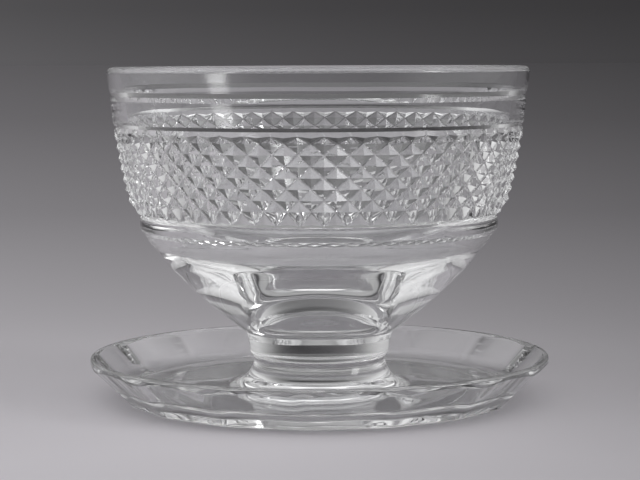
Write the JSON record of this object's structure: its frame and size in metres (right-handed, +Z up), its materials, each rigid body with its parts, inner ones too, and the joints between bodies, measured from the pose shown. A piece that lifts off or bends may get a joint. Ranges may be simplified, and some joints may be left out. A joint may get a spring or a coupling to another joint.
{
  "type": "sundae dish",
  "caption": "Cut-glass footed sundae dish: a flared bowl with a diamond-cut band, a short collar and a wide saucer foot that stands on a flat ring.",
  "frame": {"origin": "on the table under the centre of the foot, in the plane of the standing ring", "axes": "+Z up along the axis of the bowl, -Y towards the viewer of the picture"},
  "size_m": [0.1248, 0.1248, 0.09],
  "materials": {
    "bowl_glass": "polished cut crystal",
    "collar_glass": "fire-polished crystal",
    "foot_glass": "polished crystal, ground standing ring"
  },
  "bodies": {
    "root": {"bowl": "bowl_glass", "collar": "collar_glass", "saucer_foot": "foot_glass"}
  },
  "joints": []
}
